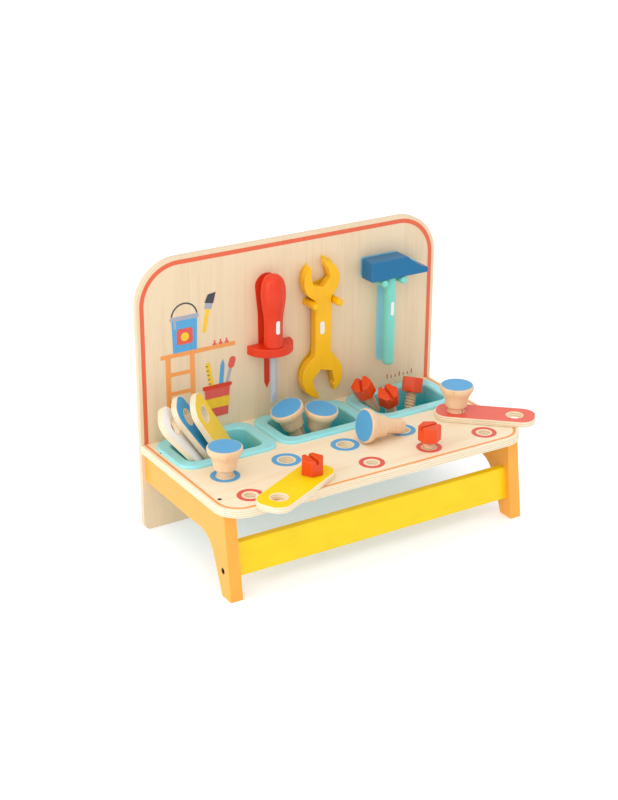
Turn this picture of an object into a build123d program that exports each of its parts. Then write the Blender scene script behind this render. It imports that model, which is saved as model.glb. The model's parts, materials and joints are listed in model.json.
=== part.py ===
from build123d import *
import math
import os

# Wooden toy workbench: a pegboard back panel, a worktop on two side frames and a
# front rail, three lift-out trays, hung toy tools, and loose nails, screws and slats.
# Millimetres. X runs along the bench, +Y points out of the back, +Z is up.
# The origin is the middle of the back panel's bottom edge, on the floor.

# ---------------------------------------------------------------- driving sizes
WIDTH = 360.0  # back panel and worktop, side to side
PANEL_HEIGHT = 291.5
PANEL_THICK = 6.0
PANEL_TOP_CORNER = 47.0
PANEL_FOOT_CORNER = 8.0

TOP_Z = 96.5  # worktop's upper face
TOP_THICK = 8.5
TOP_DEPTH = 180.0
TOP_CORNER = 28.0

FRAME_THICK = 13.5  # side frames
FRAME_INSET = 4.0  # worktop edge to the frame's outer face
RAIL_UNDER_Z = 55.5  # under edge of a side frame's upper bar
FOOT_FRONT = 177.5  # distances in front of the back panel
FOOT_BACK = 159.5
LEG_TOP_FRONT = 165.0
LEG_KNEE_RADIUS = 28.0

RAIL_THICK = 8.5  # front rail
RAIL_BOTTOM = 20.0
RAIL_TOP = 54.5
RAIL_SETBACK = 7.0

HOLE_PITCH = 70.0
NAIL_ROW = 104.0  # rows of worktop holes, in front of the back panel
SCREW_ROW = 153.5
NAIL_HOLE_R = 8.25
SCREW_HOLE_R = 6.25

TRAY_SPACING = 114.5
TRAY_ROW = 39.5
TRAY_LENGTH = 112.0
TRAY_WIDTH = 76.0
TRAY_CORNER = 18.0
TRAY_RIM = 11.0
TRAY_RIM_HEIGHT = 3.0
TRAY_FLOOR_Z = 62.0
TRAY_WALL = 2.0
TRAY_GAP = 0.4  # between a tray's tub and its cut-out

NAIL_LENGTH = 47.0
NAIL_HEAD_R = 18.0
NAIL_WAIST_R = 12.4
NAIL_COLLAR_R = 11.4
NAIL_COLLAR = 23.0  # depth of the collar's lower edge below the head's top
NAIL_SHANK_R = 8.2
NAIL_SLIT = 2.0

BOLT_HEAD_FLATS = 21.0  # toy screw's hexagon, across flats
BOLT_HEAD_HEIGHT = 16.5
BOLT_LENGTH = 46.5
BOLT_SHANK_R = 6.2
BOLT_ROOT_R = 4.9
THREAD_PITCH = 3.2
BOLT_SLOT_MOUTH = 4.2  # the slot narrows from its mouth to its floor
BOLT_SLOT_FLOOR = 1.8
BOLT_SLOT_DEPTH = 4.6

SLAT_LENGTH = 106.0
SLAT_WIDTH = 38.0
SLAT_THICK = 6.0
SLAT_CORNER = 15.0
SLAT_HOLE_PITCH = 62.0
SLAT_GAP = 0.25  # air under a slat that lies on the worktop

PEG_R = 4.0
PEG_REACH = 24.0

WOOD_SCREW_R = 1.5
FIT = 0.05  # radial gap of a glued or screwed fit

# ---------------------------------------------------------------- derived places
FRONT = -PANEL_THICK / 2  # front face of the back panel
BACK = PANEL_THICK / 2
TOP_UNDER = TOP_Z - TOP_THICK
FRAME_OUTER_X = WIDTH / 2 - FRAME_INSET
FRAME_INNER_X = FRAME_OUTER_X - FRAME_THICK
FRAME_MID_X = FRAME_OUTER_X - FRAME_THICK / 2
RIM_TOP = TOP_Z + TRAY_RIM_HEIGHT
TUB_LENGTH = TRAY_LENGTH - 2 * TRAY_RIM
TUB_WIDTH = TRAY_WIDTH - 2 * TRAY_RIM
TUB_CORNER = TRAY_CORNER - TRAY_RIM / 2
HOLE_XS = [HOLE_PITCH * n for n in (-2, -1, 0, 1, 2)]
SLAT_TOP_Z = TOP_Z + SLAT_GAP + SLAT_THICK

os.makedirs("parts", exist_ok=True)


def save(piece, name):
    piece.part.label = name
    export_step(piece.part, f"parts/{name}.step")


def upright(plane):
    """The plane that holds the given plane's x direction and its normal."""
    return Plane(origin=plane.origin, x_dir=plane.x_dir, z_dir=-plane.y_dir)


def spun(plane, turn):
    """The same plane, turned about its own normal by turn degrees."""
    side = plane.x_dir.rotate(Axis((0, 0, 0), plane.z_dir), turn)
    return Plane(origin=plane.origin, x_dir=side, z_dir=plane.z_dir)


def tilted(origin, up, across):
    """A plane at origin whose normal is up, with its x direction as near as can be to across."""
    normal = Vector(*up).normalized()
    side = Vector(*across)
    side = (side - normal * side.dot(normal)).normalized()
    return Plane(origin=origin, x_dir=side, z_dir=normal)


# ---------------------------------------------------------------- fixed structure
SIDE_SCREW_ZS = (64.0, 80.0)
TOP_SCREW_XS = (-60.0, 60.0)
HAMMER_PEGS = ((101.5, 227.0), (125.5, 227.0))
WRENCH_PEGS = ((15.6, 217.0), (44.6, 217.0))
HOLDER_X = -29.0
HOLDER_TOP = 181.0
HOLDER_THICK = 9.5
HOLDER_LENGTH = 52.0
HOLDER_DEPTH = 25.0
HOLDER_SCREW_XS = (HOLDER_X - 15.0, HOLDER_X + 15.0)
HOLDER_SCREW_Z = HOLDER_TOP - HOLDER_THICK / 2
DRIVER_X = -31.5
DRIVER_Y = FRONT - 14.0

rear_screws = [(s * FRAME_MID_X, z) for s in (-1, 1) for z in SIDE_SCREW_ZS]
rear_screws += [(x, TOP_Z - TOP_THICK / 2) for x in TOP_SCREW_XS]
holder_screws = [(x, HOLDER_SCREW_Z) for x in HOLDER_SCREW_XS]
SCREW_HEAD_R = 3.2
PANEL_SCREW_LENGTH = 25.0
HOLDER_SCREW_LENGTH = 16.0

with BuildPart() as back_panel:
    with BuildSketch(Plane.XZ.offset(-BACK)) as outline:
        Rectangle(WIDTH, PANEL_HEIGHT, align=(Align.CENTER, Align.MIN))
        corners = outline.vertices().group_by(Axis.Y)
        fillet(corners[0], radius=PANEL_FOOT_CORNER)
        corners = outline.vertices().group_by(Axis.Y)
        fillet(corners[-1], radius=PANEL_TOP_CORNER)
    extrude(amount=PANEL_THICK)
    with BuildSketch(Plane.XZ.offset(-BACK)):
        with Locations(*HAMMER_PEGS, *WRENCH_PEGS):
            Circle(PEG_R + FIT)
        with Locations(*rear_screws, *holder_screws):
            Circle(WOOD_SCREW_R + FIT)
    extrude(amount=PANEL_THICK, mode=Mode.SUBTRACT)
    for x, z in rear_screws + holder_screws:
        with Locations(Plane((x, BACK, z), z_dir=(0, 1, 0))):
            CounterSinkHole(WOOD_SCREW_R + FIT, SCREW_HEAD_R + FIT, depth=PANEL_THICK)
save(back_panel, "back_panel")

TRAY_XS = (-TRAY_SPACING, 0.0, TRAY_SPACING)
TRAY_Y = FRONT - TRAY_ROW
PIN_Y = (FRONT - 25.0, FRONT - 146.0)
pin_places = [(s * FRAME_MID_X, y) for s in (-1, 1) for y in PIN_Y]
PIN_HEAD_R = 2.2
PIN_HEAD_DEPTH = 1.2
PIN_LENGTH = 24.0

with BuildPart() as worktop:
    with BuildSketch(Plane.XY.offset(TOP_UNDER)) as board:
        with Locations((0, FRONT)):
            Rectangle(WIDTH, TOP_DEPTH, align=(Align.CENTER, Align.MAX))
        fillet(board.vertices().group_by(Axis.Y)[0], radius=TOP_CORNER)
        with Locations(*[(x, TRAY_Y) for x in TRAY_XS]):
            RectangleRounded(
                TUB_LENGTH + 2 * TRAY_GAP,
                TUB_WIDTH + 2 * TRAY_GAP,
                TUB_CORNER + TRAY_GAP,
                mode=Mode.SUBTRACT,
            )
        with Locations(*[(x, FRONT - NAIL_ROW) for x in HOLE_XS]):
            Circle(NAIL_HOLE_R, mode=Mode.SUBTRACT)
        with Locations(*[(x, FRONT - SCREW_ROW) for x in HOLE_XS]):
            Circle(SCREW_HOLE_R, mode=Mode.SUBTRACT)
        with Locations(*pin_places):
            Circle(WOOD_SCREW_R + FIT, mode=Mode.SUBTRACT)
    extrude(amount=TOP_THICK)
    with BuildSketch(Plane.XY.offset(TOP_Z)):
        with Locations(*pin_places):
            Circle(PIN_HEAD_R + FIT)
    extrude(amount=-PIN_HEAD_DEPTH, mode=Mode.SUBTRACT)
    for x in TOP_SCREW_XS:
        with BuildSketch(Plane.XZ.offset(-FRONT)):
            with Locations((x, TOP_Z - TOP_THICK / 2)):
                Circle(WOOD_SCREW_R + FIT)
        extrude(amount=PANEL_SCREW_LENGTH - PANEL_THICK, mode=Mode.SUBTRACT)
    front_outline = worktop.edges().filter_by(GeomType.LINE).filter_by(Axis.X).group_by(Axis.Y)[0]
    fillet(front_outline, radius=0.8)
save(worktop, "worktop")

RAIL_BOLT_Z = 28.0
RAIL_SLOPE = (FOOT_FRONT - LEG_TOP_FRONT) / TOP_UNDER  # leg's lean, per mm of height
RAIL_BOLT_Y = FRONT - (FOOT_FRONT - RAIL_SLOPE * RAIL_BOLT_Z - RAIL_SETBACK) + RAIL_THICK / 2
BOLT_R = 2.0
BOLT_REACH = 38.0
BOLT_CAP_R = 3.4
BOLT_CAP_DEPTH = 2.6
NUT_INSET = 20.0
NUT_R = 3.6
FOOT_SLOPE = 19.5 / 46.0  # leg's rear edge, per mm of height
DOWEL_R = 3.0
DOWEL_LENGTH = 24.0
DOWEL_Z = 44.0
DOWEL_Y = RAIL_BOLT_Y + RAIL_SLOPE * (DOWEL_Z - RAIL_BOLT_Z)


def side_frame(side):
    """An L-shaped frame: an upper bar under the worktop and a front leg."""
    inner = Plane.YZ.offset(side * FRAME_INNER_X)
    knee_y = FRONT - FOOT_BACK + FOOT_SLOPE * RAIL_UNDER_Z
    with BuildPart() as frame:
        with BuildSketch(inner):
            with BuildLine():
                FilletPolyline(
                    (FRONT, RAIL_UNDER_Z),
                    (knee_y, RAIL_UNDER_Z),
                    (FRONT - FOOT_BACK, 0),
                    radius=LEG_KNEE_RADIUS,
                )
                Polyline(
                    (FRONT - FOOT_BACK, 0),
                    (FRONT - FOOT_FRONT, 0),
                    (FRONT - LEG_TOP_FRONT, TOP_UNDER),
                    (FRONT, TOP_UNDER),
                    (FRONT, RAIL_UNDER_Z),
                )
            make_face()
        extrude(amount=side * FRAME_THICK)
        long_edges = frame.faces().sort_by(Axis.X)[-1 if side > 0 else 0].edges()
        leg_edges = long_edges.filter_by(
            lambda e: FRONT - 1 > e.center().Y and 1 < e.center().Z < TOP_UNDER - 1
        )
        fillet(leg_edges, radius=1.2)
        with BuildSketch(inner):
            with Locations((RAIL_BOLT_Y, RAIL_BOLT_Z)):
                Circle(BOLT_R + FIT)
        extrude(amount=side * FRAME_THICK, mode=Mode.SUBTRACT)
        with BuildSketch(Plane.YZ.offset(side * FRAME_OUTER_X)):
            with Locations((RAIL_BOLT_Y, RAIL_BOLT_Z)):
                Circle(BOLT_CAP_R + FIT)
        extrude(amount=-side * BOLT_CAP_DEPTH, mode=Mode.SUBTRACT)
        with BuildSketch(inner):
            with Locations((DOWEL_Y, DOWEL_Z)):
                Circle(DOWEL_R + FIT)
        extrude(amount=side * DOWEL_LENGTH / 2, mode=Mode.SUBTRACT)
        with BuildSketch(Plane.XY.offset(TOP_UNDER)):
            with Locations(*[(side * FRAME_MID_X, y) for y in PIN_Y]):
                Circle(WOOD_SCREW_R + FIT)
        extrude(amount=-(PIN_LENGTH - TOP_THICK), mode=Mode.SUBTRACT)
        with BuildSketch(Plane.XZ.offset(-FRONT)):
            with Locations(*[(side * FRAME_MID_X, z) for z in SIDE_SCREW_ZS]):
                Circle(WOOD_SCREW_R + FIT)
        extrude(amount=PANEL_SCREW_LENGTH - PANEL_THICK, mode=Mode.SUBTRACT)
    return frame


save(side_frame(-1), "left_side_frame")
save(side_frame(1), "right_side_frame")


def rail_y(z):
    """The front rail's front face at height z, parallel to the leg's front edge."""
    return FRONT - (FOOT_FRONT - RAIL_SLOPE * z - RAIL_SETBACK)


with BuildPart() as front_rail:
    with BuildSketch(Plane.YZ.offset(-FRAME_INNER_X)):
        with BuildLine():
            Polyline(
                (rail_y(RAIL_BOTTOM), RAIL_BOTTOM),
                (rail_y(RAIL_TOP), RAIL_TOP),
                (rail_y(RAIL_TOP) + RAIL_THICK, RAIL_TOP),
                (rail_y(RAIL_BOTTOM) + RAIL_THICK, RAIL_BOTTOM),
                close=True,
            )
        make_face()
    extrude(amount=2 * FRAME_INNER_X)
    fillet(front_rail.edges().filter_by(Axis.X), radius=1.2)
    for side in (-1, 1):
        with BuildSketch(Plane.YZ.offset(side * FRAME_INNER_X)):
            with Locations((RAIL_BOLT_Y, RAIL_BOLT_Z)):
                Circle(BOLT_R + FIT)
        extrude(amount=-side * BOLT_REACH, mode=Mode.SUBTRACT)
        with BuildSketch(Plane.YZ.offset(side * FRAME_INNER_X)):
            with Locations((DOWEL_Y, DOWEL_Z)):
                Circle(DOWEL_R + FIT)
        extrude(amount=-side * DOWEL_LENGTH / 2, mode=Mode.SUBTRACT)
        with BuildSketch(Plane.XZ.offset(-RAIL_BOLT_Y)):
            with Locations((side * (FRAME_INNER_X - NUT_INSET), RAIL_BOLT_Z)):
                Circle(NUT_R + FIT)
        extrude(amount=-RAIL_THICK, mode=Mode.SUBTRACT)
save(front_rail, "front_rail")


# ---------------------------------------------------------------- pegs and tool holder
def peg(x, z):
    with BuildPart() as rod:
        with BuildSketch(Plane.XZ.offset(-BACK)):
            with Locations((x, z)):
                Circle(PEG_R)
        extrude(amount=PANEL_THICK + PEG_REACH)
        fillet(rod.edges().group_by(Axis.Y)[0], radius=2.5)
    return rod


for name, (x, z) in zip(("hammer_peg_left", "hammer_peg_right"), HAMMER_PEGS):
    save(peg(x, z), name)
for name, (x, z) in zip(("wrench_peg_left", "wrench_peg_right"), WRENCH_PEGS):
    save(peg(x, z), name)

DRIVER_SHAFT_R = 3.5
DRIVER_HOLE_R = 4.3

with BuildPart() as screwdriver_holder:
    with BuildSketch(Plane.XY.offset(HOLDER_TOP - HOLDER_THICK)):
        with Locations((HOLDER_X, FRONT)):
            Ellipse(HOLDER_LENGTH / 2, HOLDER_DEPTH)
            Rectangle(
                HOLDER_LENGTH,
                HOLDER_DEPTH + 1,
                align=(Align.CENTER, Align.MIN),
                mode=Mode.SUBTRACT,
            )
        with Locations((DRIVER_X, DRIVER_Y)):
            Circle(DRIVER_HOLE_R, mode=Mode.SUBTRACT)
    extrude(amount=HOLDER_THICK)
    rims = screwdriver_holder.faces().filter_by(Axis.Z)
    fillet([e for f in rims for e in f.edges() if e.center().Y < FRONT - 0.5], radius=1.0)
    with BuildSketch(Plane.XZ.offset(-FRONT)):
        with Locations(*holder_screws):
            Circle(WOOD_SCREW_R + FIT)
    extrude(amount=HOLDER_SCREW_LENGTH - PANEL_THICK, mode=Mode.SUBTRACT)
save(screwdriver_holder, "screwdriver_holder")


# ---------------------------------------------------------------- fasteners
def rear_screw_set(places, length):
    """Countersunk screws driven through the back panel, flush with its rear face."""
    with BuildPart() as group:
        for x, z in places:
            with BuildSketch(Plane.XZ.offset(-BACK)):
                with Locations((x, z)):
                    Circle(SCREW_HEAD_R)
            extrude(amount=WOOD_SCREW_R + 0.1, taper=44)
            with BuildSketch(Plane.XZ.offset(-BACK)):
                with Locations((x, z)):
                    Circle(WOOD_SCREW_R)
            extrude(amount=length)
    return group


save(rear_screw_set(rear_screws, PANEL_SCREW_LENGTH), "panel_screws")
save(rear_screw_set(holder_screws, HOLDER_SCREW_LENGTH), "holder_screws")

with BuildPart() as worktop_pins:
    for x, y in pin_places:
        with BuildSketch(Plane.XY.offset(TOP_Z - 0.2)):
            with Locations((x, y)):
                Circle(PIN_HEAD_R)
        extrude(amount=-(PIN_HEAD_DEPTH - 0.2))
        with BuildSketch(Plane.XY.offset(TOP_Z - PIN_HEAD_DEPTH)):
            with Locations((x, y)):
                Circle(WOOD_SCREW_R)
        extrude(amount=-(PIN_LENGTH - PIN_HEAD_DEPTH))
save(worktop_pins, "worktop_screws")

with BuildPart() as rail_bolts:
    for side in (-1, 1):
        with BuildSketch(Plane.YZ.offset(side * (FRAME_OUTER_X - 0.4))):
            with Locations((RAIL_BOLT_Y, RAIL_BOLT_Z)):
                Circle(BOLT_CAP_R)
                RegularPolygon(1.6, 6, mode=Mode.SUBTRACT)
        extrude(amount=-side * (BOLT_CAP_DEPTH - 0.4))
        with BuildSketch(Plane.YZ.offset(side * (FRAME_OUTER_X - BOLT_CAP_DEPTH + 0.6))):
            with Locations((RAIL_BOLT_Y, RAIL_BOLT_Z)):
                Circle(BOLT_R)
        extrude(amount=-side * (FRAME_THICK - BOLT_CAP_DEPTH + BOLT_REACH - 2))
save(rail_bolts, "rail_bolts")

with BuildPart() as rail_nuts:
    for side in (-1, 1):
        with BuildSketch(Plane.XZ.offset(-(RAIL_BOLT_Y + RAIL_THICK / 2 - 0.8))):
            with Locations((side * (FRAME_INNER_X - NUT_INSET), RAIL_BOLT_Z)):
                Circle(NUT_R)
        extrude(amount=RAIL_THICK / 2 - 1.0)
        with BuildSketch(Plane.YZ.offset(side * FRAME_INNER_X)):
            with Locations((RAIL_BOLT_Y, RAIL_BOLT_Z)):
                Circle(BOLT_R + FIT)
        extrude(amount=-side * BOLT_REACH, mode=Mode.SUBTRACT)
save(rail_nuts, "rail_barrel_nuts")

with BuildPart() as rail_dowels:
    for side in (-1, 1):
        with BuildSketch(Plane.YZ.offset(side * (FRAME_INNER_X - DOWEL_LENGTH / 2 + 1))):
            with Locations((DOWEL_Y, DOWEL_Z)):
                Circle(DOWEL_R)
        extrude(amount=side * (DOWEL_LENGTH - 2))
save(rail_dowels, "rail_dowels")


# ---------------------------------------------------------------- trays
def tray(x):
    """A shallow tub that hangs in the worktop by its wide soft rim."""
    with BuildPart() as tub:
        with BuildSketch(Plane.XY.offset(TOP_Z)):
            with Locations((x, TRAY_Y)):
                RectangleRounded(TRAY_LENGTH, TRAY_WIDTH, TRAY_CORNER)
        extrude(amount=TRAY_RIM_HEIGHT)
        fillet(tub.edges().group_by(Axis.Z)[-1], radius=TRAY_RIM_HEIGHT - 0.4)
        with BuildSketch(Plane.XY.offset(TOP_Z)):
            with Locations((x, TRAY_Y)):
                RectangleRounded(TUB_LENGTH, TUB_WIDTH, TUB_CORNER)
        extrude(amount=-(TOP_Z - TRAY_FLOOR_Z + TRAY_WALL), taper=2)
        with BuildSketch(Plane.XY.offset(RIM_TOP)):
            with Locations((x, TRAY_Y)):
                RectangleRounded(
                    TUB_LENGTH - 2 * TRAY_WALL,
                    TUB_WIDTH - 2 * TRAY_WALL,
                    TUB_CORNER - TRAY_WALL,
                )
        extrude(amount=-(RIM_TOP - TRAY_FLOOR_Z), taper=2, mode=Mode.SUBTRACT)
        mouth = tub.faces().filter_by(Axis.Z).sort_by(Axis.Z)[-1].inner_wires().edges()
        fillet(mouth, radius=TRAY_RIM_HEIGHT - 0.4)
    return tub


for name, x in zip(("left_tray", "middle_tray", "right_tray"), TRAY_XS):
    save(tray(x), name)


# ---------------------------------------------------------------- toy nails
def nail(plane, slit_turn=0.0):
    """A mushroom-headed wooden nail, hanging down from plane, with a springy split shank."""
    shank_top = NAIL_COLLAR + 2.5
    side = upright(spun(plane, slit_turn))
    with BuildPart() as toy_nail:
        with BuildSketch(side):
            with BuildLine():
                Polyline((0, -NAIL_LENGTH), (0, 0), (NAIL_HEAD_R - 1, 0), (NAIL_HEAD_R, -1))
                Spline(
                    (NAIL_HEAD_R, -1),
                    (NAIL_HEAD_R - 0.9, -6),
                    (NAIL_WAIST_R + 1.2, -12),
                    (NAIL_WAIST_R, -16),
                    (NAIL_COLLAR_R, -NAIL_COLLAR),
                )
                Polyline(
                    (NAIL_COLLAR_R, -NAIL_COLLAR),
                    (NAIL_SHANK_R, -shank_top),
                    (NAIL_SHANK_R, 1.5 - NAIL_LENGTH),
                    (NAIL_SHANK_R - 1.5, -NAIL_LENGTH),
                    (0, -NAIL_LENGTH),
                )
            make_face()
        revolve(axis=Axis(plane.origin, plane.z_dir))
        with BuildSketch(side):
            with Locations((0, -NAIL_LENGTH)):
                Rectangle(
                    NAIL_SLIT,
                    NAIL_LENGTH - shank_top - 1,
                    align=(Align.CENTER, Align.MIN),
                )
        extrude(amount=NAIL_HEAD_R, both=True, mode=Mode.SUBTRACT)
    return toy_nail


NAIL_TOP = TOP_Z + 32.0
RED_NAIL_TOP = TOP_Z + 36.0
save(nail(Plane((HOLE_XS[0], FRONT - NAIL_ROW, NAIL_TOP)), 60), "nail_front_left")
save(nail(Plane((HOLE_XS[4], FRONT - NAIL_ROW, RED_NAIL_TOP)), 20), "nail_back_right")

LYING_SINE = (NAIL_HEAD_R - NAIL_SHANK_R) / NAIL_LENGTH
LYING_COSINE = math.sqrt(1 - LYING_SINE**2)
lying_axis = (-LYING_COSINE, 0.06, LYING_SINE)
lying_origin = (18.5, FRONT - 110.5, TOP_Z + 1.7 + NAIL_HEAD_R * LYING_COSINE)
save(nail(tilted(lying_origin, lying_axis, (0, 1, 0)), 40), "nail_on_worktop")

leaning_nail = tilted((-29.8, FRONT - 36.5, 119.0), (-0.37, 0.02, 0.926), (1, 0, 0))
standing_nail = tilted((6.5, FRONT - 48.0, 114.5), (0.06, -0.14, 0.99), (1, 0, 0))
save(nail(leaning_nail, 30), "tray_nail_left")
save(nail(standing_nail, 70), "tray_nail_right")


# ---------------------------------------------------------------- toy screws
def screw_head(plane):
    """A slotted hexagonal head hanging down from plane."""
    with BuildPart() as head:
        with BuildSketch(plane):
            RegularPolygon(BOLT_HEAD_FLATS / 2, 6, major_radius=False, rotation=30)
        extrude(amount=-BOLT_HEAD_HEIGHT)
        chamfer(head.edges(), length=0.7)
        with BuildSketch(Plane(origin=plane.origin, x_dir=plane.y_dir, z_dir=plane.x_dir)):
            with BuildLine():
                Polyline(
                    (-BOLT_SLOT_MOUTH / 2, 0),
                    (BOLT_SLOT_MOUTH / 2, 0),
                    (BOLT_SLOT_FLOOR / 2, -BOLT_SLOT_DEPTH),
                    (-BOLT_SLOT_FLOOR / 2, -BOLT_SLOT_DEPTH),
                    close=True,
                )
            make_face()
        extrude(amount=BOLT_HEAD_FLATS, both=True, mode=Mode.SUBTRACT)
    return head


def screw_shank(plane):
    """The head's threaded shank, with rounded ridges."""
    ridges = int((BOLT_LENGTH - BOLT_HEAD_HEIGHT - 4) / THREAD_PITCH)
    side = upright(plane)
    with BuildPart() as shank:
        with BuildSketch(side):
            with BuildLine():
                points = [(0, -BOLT_HEAD_HEIGHT), (BOLT_ROOT_R, -BOLT_HEAD_HEIGHT)]
                for ridge in range(ridges):
                    z = -BOLT_HEAD_HEIGHT - 1.5 - THREAD_PITCH * ridge
                    points.append((BOLT_ROOT_R, z))
                    points.append((BOLT_SHANK_R, z - 0.35 * THREAD_PITCH))
                    points.append((BOLT_SHANK_R, z - 0.6 * THREAD_PITCH))
                    points.append((BOLT_ROOT_R, z - 0.95 * THREAD_PITCH))
                points.append((BOLT_ROOT_R, 1 - BOLT_LENGTH))
                points.append((BOLT_ROOT_R - 1, -BOLT_LENGTH))
                points.append((0, -BOLT_LENGTH))
                Polyline(*points, close=True)
            make_face()
        revolve(axis=Axis(plane.origin, plane.z_dir))
    return shank


def toy_screw(plane, name):
    save(screw_head(plane), f"{name}_head")
    save(screw_shank(plane), f"{name}_shank")


screw_y = FRONT - SCREW_ROW
raised = TOP_Z + 8 + BOLT_HEAD_HEIGHT
tight = SLAT_TOP_Z + BOLT_HEAD_HEIGHT
toy_screw(spun(Plane((HOLE_XS[3], screw_y, raised)), 1), "worktop_screw")
toy_screw(spun(Plane((HOLE_XS[1], screw_y, tight)), 88), "slat_screw")

leaning_screw = tilted((68.4, FRONT - 28.3, 122.1), (-0.5, -0.1, 0.86), (0.6, 0.8, 0))
front_screw = tilted((91.0, FRONT - 46.5, 114.3), (-0.36, -0.3, 0.88), (0.1, 1, 0.3))
back_screw = tilted((136.0, FRONT - 29.9, 115.5), (0.31, 0.27, 0.91), (1, -0.5, 0))
toy_screw(leaning_screw, "tray_screw_left")
toy_screw(front_screw, "tray_screw_front")
toy_screw(back_screw, "tray_screw_right")


# ---------------------------------------------------------------- two-hole slats
def slat(plane):
    """A round-ended strip with two holes. plane lies on its painted face, x along its length."""
    with BuildPart() as strip:
        with BuildSketch(plane):
            RectangleRounded(SLAT_LENGTH, SLAT_WIDTH, SLAT_CORNER)
            with GridLocations(SLAT_HOLE_PITCH, 0, 2, 1):
                Circle(NAIL_HOLE_R, mode=Mode.SUBTRACT)
        extrude(amount=-SLAT_THICK)
        faces = strip.faces().sort_by(SortBy.AREA)[-2:]
        fillet([e for f in faces for e in f.outer_wire().edges()], radius=0.7)
    return strip


def lying_slat(pivot_x, pivot_row, heading):
    """A slat flat on the worktop: one hole over the pivot, the other one towards heading."""
    along = Vector(math.cos(math.radians(heading)), math.sin(math.radians(heading)), 0)
    middle = Vector(pivot_x, FRONT - pivot_row, SLAT_TOP_Z) + along * (SLAT_HOLE_PITCH / 2)
    return slat(Plane(origin=middle, x_dir=along, z_dir=(0, 0, 1)))


save(lying_slat(HOLE_XS[1], SCREW_ROW, 207.5), "yellow_slat")
save(lying_slat(HOLE_XS[4], NAIL_ROW, -42.0), "red_slat")

# The slats in the left tray lean to the left, each a little more than the one in front of it.
# Each entry: lower end, direction along the slat, and the painted face's normal.
TRAY_SLATS = {
    "amber_slat": ((-89.3, FRONT - 44.5, 67.9), (-0.51, -0.06, 0.86), (0.70, -0.61, 0.37)),
    "blue_slat": ((-100.6, FRONT - 45.9, 67.7), (-0.55, 0.05, 0.83), (0.67, -0.57, 0.48)),
    "white_slat": ((-111.2, FRONT - 47.0, 67.5), (-0.63, 0.0, 0.775), (0.635, -0.575, 0.515)),
}
for name, (foot, along, normal) in TRAY_SLATS.items():
    middle = Vector(*foot) + Vector(*along).normalized() * (SLAT_LENGTH / 2)
    save(slat(tilted(middle, normal, along)), name)

# ---------------------------------------------------------------- hung tools
DRIVER_TIP_Z = 117.5
DRIVER_TOP_Z = 259.5
BULB_R = 12.75
GRIP_R = 10.0

with BuildPart() as screwdriver_handle:
    with BuildSketch(Plane.XZ.offset(-DRIVER_Y)):
        with BuildLine():
            Line((DRIVER_X, DRIVER_TOP_Z), (DRIVER_X, HOLDER_TOP))
            Line((DRIVER_X, HOLDER_TOP), (DRIVER_X + GRIP_R - 1, HOLDER_TOP))
            Line((DRIVER_X + GRIP_R - 1, HOLDER_TOP), (DRIVER_X + GRIP_R, HOLDER_TOP + 1))
            Spline(
                (DRIVER_X + GRIP_R, HOLDER_TOP + 1),
                (DRIVER_X + GRIP_R + 0.3, DRIVER_TOP_Z - 46),
                (DRIVER_X + BULB_R, DRIVER_TOP_Z - 15),
                (DRIVER_X + 0.62 * BULB_R, DRIVER_TOP_Z - 2.6),
                (DRIVER_X, DRIVER_TOP_Z),
                tangents=((0, 1), (-1, 0)),
            )
        make_face()
    revolve(axis=Axis((DRIVER_X, DRIVER_Y, 0), (0, 0, 1)))
    with BuildSketch(Plane.XY.offset(HOLDER_TOP)):
        with Locations((DRIVER_X, DRIVER_Y)):
            Circle(DRIVER_SHAFT_R + FIT)
    extrude(amount=25, mode=Mode.SUBTRACT)
save(screwdriver_handle, "screwdriver_handle")

TIP_TAPER = 16.0
with BuildPart() as screwdriver_shaft:
    with BuildSketch(Plane.XY.offset(HOLDER_TOP + 24)):
        with Locations((DRIVER_X, DRIVER_Y)):
            Circle(DRIVER_SHAFT_R)
    extrude(amount=DRIVER_TIP_Z - HOLDER_TOP - 24)
    with BuildSketch(Plane.YZ.offset(DRIVER_X - 2 * DRIVER_SHAFT_R)):
        for side in (-1, 1):
            with BuildLine():
                Polyline(
                    (DRIVER_Y + side * 1.1, DRIVER_TIP_Z - 1),
                    (DRIVER_Y + side * 1.1, DRIVER_TIP_Z + 2),
                    (DRIVER_Y + side * 4.2, DRIVER_TIP_Z + TIP_TAPER),
                    (DRIVER_Y + side * 4.2, DRIVER_TIP_Z - 1),
                    close=True,
                )
            make_face()
    extrude(amount=4 * DRIVER_SHAFT_R, mode=Mode.SUBTRACT)
save(screwdriver_shaft, "screwdriver_shaft")

WRENCH_GAP = 4.0  # between the wrench and the back panel
WRENCH_THICK = 9.5
WRENCH_X = 30.0
WRENCH_TILT = 15.0
UPPER_HEAD = (28.0, 241.0)
UPPER_HEAD_R = 21.8
UPPER_JAW_FLATS = 21.6
LOWER_HEAD = (29.5, 133.5)
LOWER_HEAD_R = 25.0
LOWER_JAW_FLATS = 25.0
WRENCH_GRIP = 19.5


def jaw_point(head, reach, turn):
    """A point reach mm from the head's middle, turned from straight up."""
    angle = math.radians(90 + turn)
    return (head[0] + reach * math.cos(angle), head[1] + reach * math.sin(angle))


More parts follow.
